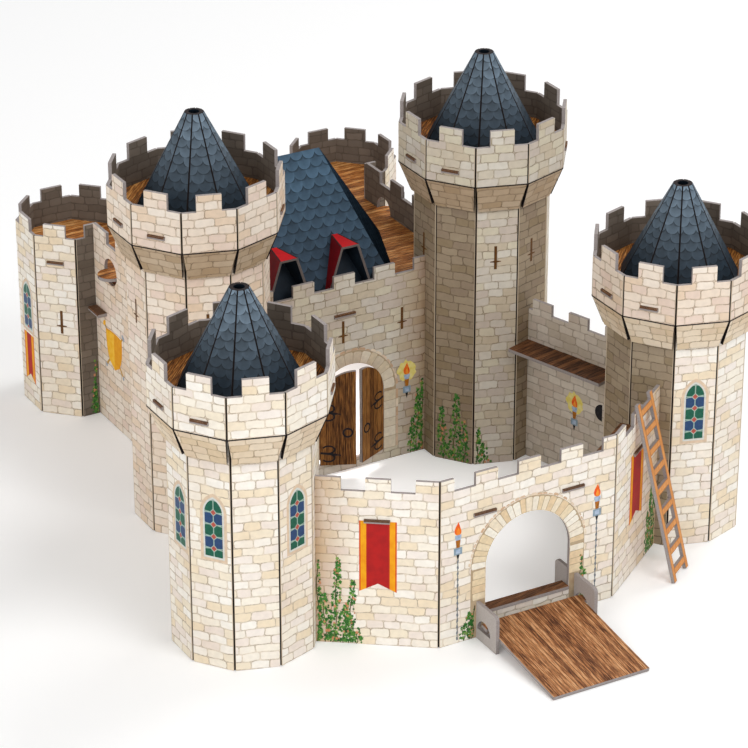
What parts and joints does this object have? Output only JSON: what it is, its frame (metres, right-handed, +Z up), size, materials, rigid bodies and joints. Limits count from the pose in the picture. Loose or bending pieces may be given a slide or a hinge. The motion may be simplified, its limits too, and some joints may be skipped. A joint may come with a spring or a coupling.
{
  "type": "cardboard castle",
  "caption": "Toy castle of folded grey board with printed stone walls, coned towers, a keep with a hipped roof and a gate with a drawbridge that swings up.",
  "frame": {"origin": "on the ground, under the middle of the castle's box with the drawbridge lowered", "axes": "+Z up, the gate and its drawbridge face -Y, +X to the right seen from the front"},
  "size_m": [0.5512, 0.713, 0.3638],
  "materials": {
    "stone_print": "matt printed card",
    "wood_print": "matt printed card",
    "slate_print": "matt printed card",
    "red_print": "matt printed card",
    "grey_board": "bare grey board",
    "ladder_print": "matt printed card"
  },
  "bodies": {
    "castle": {"front_left_tower_sleeve": "stone_print", "front_left_tower_crown": "stone_print", "front_left_tower_deck": "wood_print", "front_left_tower_cone": "slate_print", "front_right_tower_sleeve": "stone_print", "front_right_tower_crown": "stone_print", "front_right_tower_deck": "wood_print", "front_right_tower_cone": "slate_print", "rear_left_tower_sleeve": "stone_print", "rear_left_tower_crown": "stone_print", "rear_left_tower_deck": "wood_print", "rear_left_tower_cone": "slate_print", "rear_right_tower_sleeve": "stone_print", "rear_right_tower_crown": "stone_print", "rear_right_tower_deck": "wood_print", "rear_right_tower_cone": "slate_print", "keep_front_wall": "stone_print", "keep_side_wall_left": "stone_print", "keep_side_wall_right": "stone_print", "keep_back_wall": "stone_print", "keep_floor": "wood_print", "gallery_floor": "wood_print", "keep_roof": "slate_print", "dormer_left": "red_print", "dormer_right": "red_print", "gate_wall": "stone_print", "gate_walkway": "wood_print", "threshold_board": "wood_print", "bridge_plate_left": "grey_board", "bridge_plate_right": "grey_board", "curtain_wall_left": "stone_print", "curtain_wall_right": "stone_print", "curtain_walkway_left": "wood_print", "curtain_walkway_right": "wood_print", "ladder": "ladder_print"},
    "drawbridge": {"drawbridge": "wood_print"}
  },
  "joints": [
    {"name": "drawbridge_hinge", "type": "hinge", "parent": "castle", "child": "drawbridge", "pos_m": [0, -0.25692, 0.0143], "axis": [-1, 0, 0], "range_deg": [0, 101]}
  ]
}
